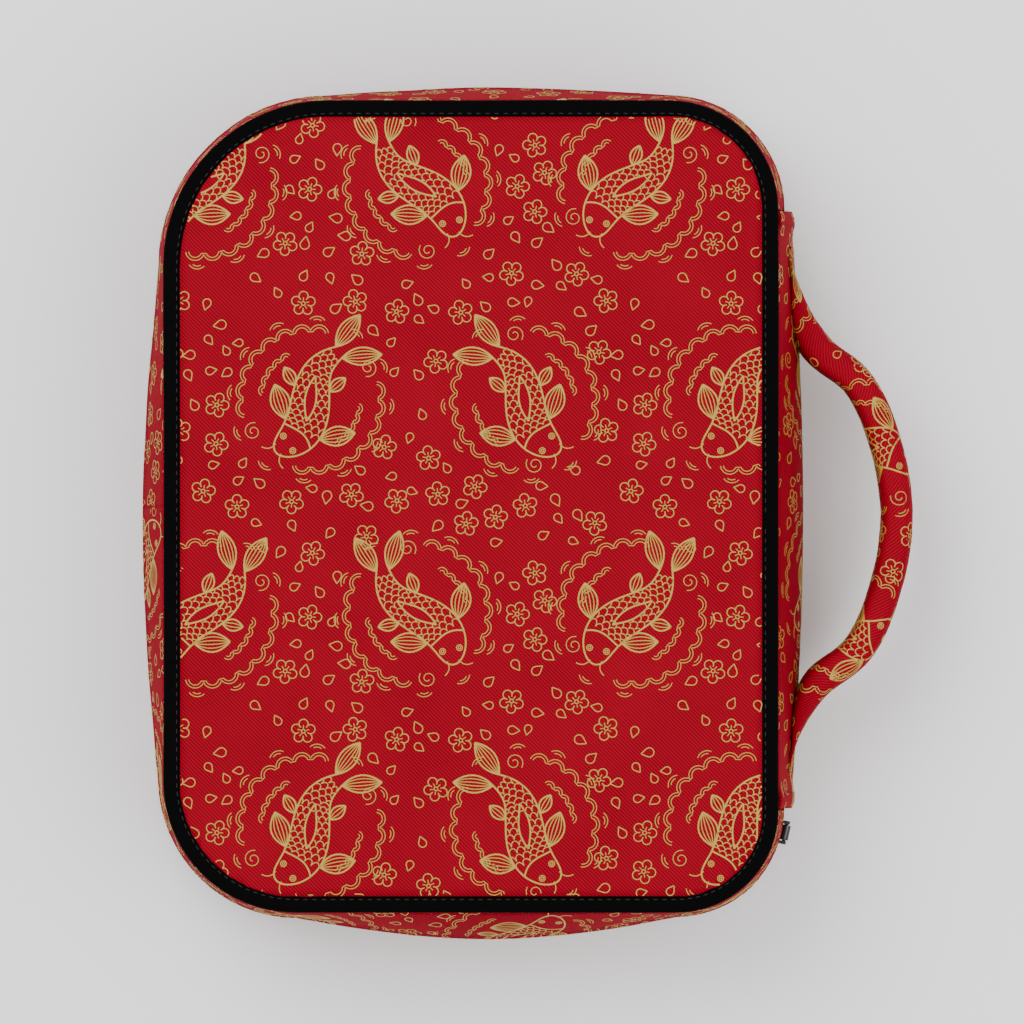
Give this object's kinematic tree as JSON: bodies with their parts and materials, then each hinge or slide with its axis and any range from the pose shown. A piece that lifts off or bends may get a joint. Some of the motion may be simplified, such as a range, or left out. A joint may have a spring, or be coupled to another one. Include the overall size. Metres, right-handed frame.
{
  "type": "zip-around book cover",
  "caption": "Soft padded book cover with a swelling zip-around gusset, black bound edges and a padded carry handle on its spine.",
  "frame": {"origin": "middle of the back cover's flat outer face, on which the case lies", "axes": "+Z through the case's thickness towards the front cover, +Y along the spine, +X from the free edge towards the spine and its handle"},
  "size_m": [0.2347, 0.2595, 0.06],
  "materials": {
    "printed_fabric": "red polyester twill with a fine gold line print",
    "binding_tape": "matt black woven binding tape",
    "lining_fabric": "plain black polyester lining",
    "foam": "soft polyurethane foam padding",
    "zip_tape": "black knitted zip tape",
    "zip_coil": "black nylon coil",
    "slider_metal": "black painted die-cast slider"
  },
  "bodies": {
    "back": {"back_outer_panel": "printed_fabric", "back_foam_pad": "foam", "back_lining_panel": "lining_fabric", "back_book_sleeve": "lining_fabric", "back_binding": "binding_tape", "back_gusset_fabric": "printed_fabric", "back_gusset_lining": "lining_fabric", "back_zip_tape": "zip_tape", "back_zip_coil": "zip_coil"},
    "spine": {"spine_fabric": "printed_fabric", "spine_foam": "foam", "spine_lining": "lining_fabric", "handle_cover": "printed_fabric", "handle_core": "foam"},
    "front": {"front_outer_panel": "printed_fabric", "front_foam_pad": "foam", "front_lining_panel": "lining_fabric", "front_book_sleeve": "lining_fabric", "front_binding": "binding_tape", "front_gusset_fabric": "printed_fabric", "front_gusset_lining": "lining_fabric", "front_zip_tape": "zip_tape", "front_zip_coil": "zip_coil"},
    "slider": {"zip_slider": "slider_metal"},
    "puller": {"zip_puller": "slider_metal"}
  },
  "joints": [
    {"name": "spine_lean", "type": "hinge", "parent": "back", "child": "spine", "pos_m": [0.0925, 0, 0.0015], "axis": [0, 1, 0], "range_deg": [0, 15]},
    {"name": "cover_open", "type": "hinge", "parent": "spine", "child": "front", "pos_m": [0.0925, 0, 0.0585], "axis": [0, 1, 0], "range_deg": [0, 180]},
    {"name": "slider_travel", "type": "hinge", "parent": "back", "child": "slider", "pos_m": [0.0625, -0.0925, 0.03], "axis": [0, 0, -1], "range_deg": [0, 68]},
    {"name": "puller_swing", "type": "hinge", "parent": "slider", "child": "puller", "pos_m": [0.09595, -0.09961, 0.03], "axis": [-0.2079, -0.9781, 0], "range_deg": [0, 165]}
  ],
  "couplings": [
    {"joint": "spine_lean", "follows": "cover_open", "ratio": 0.083333}
  ]
}
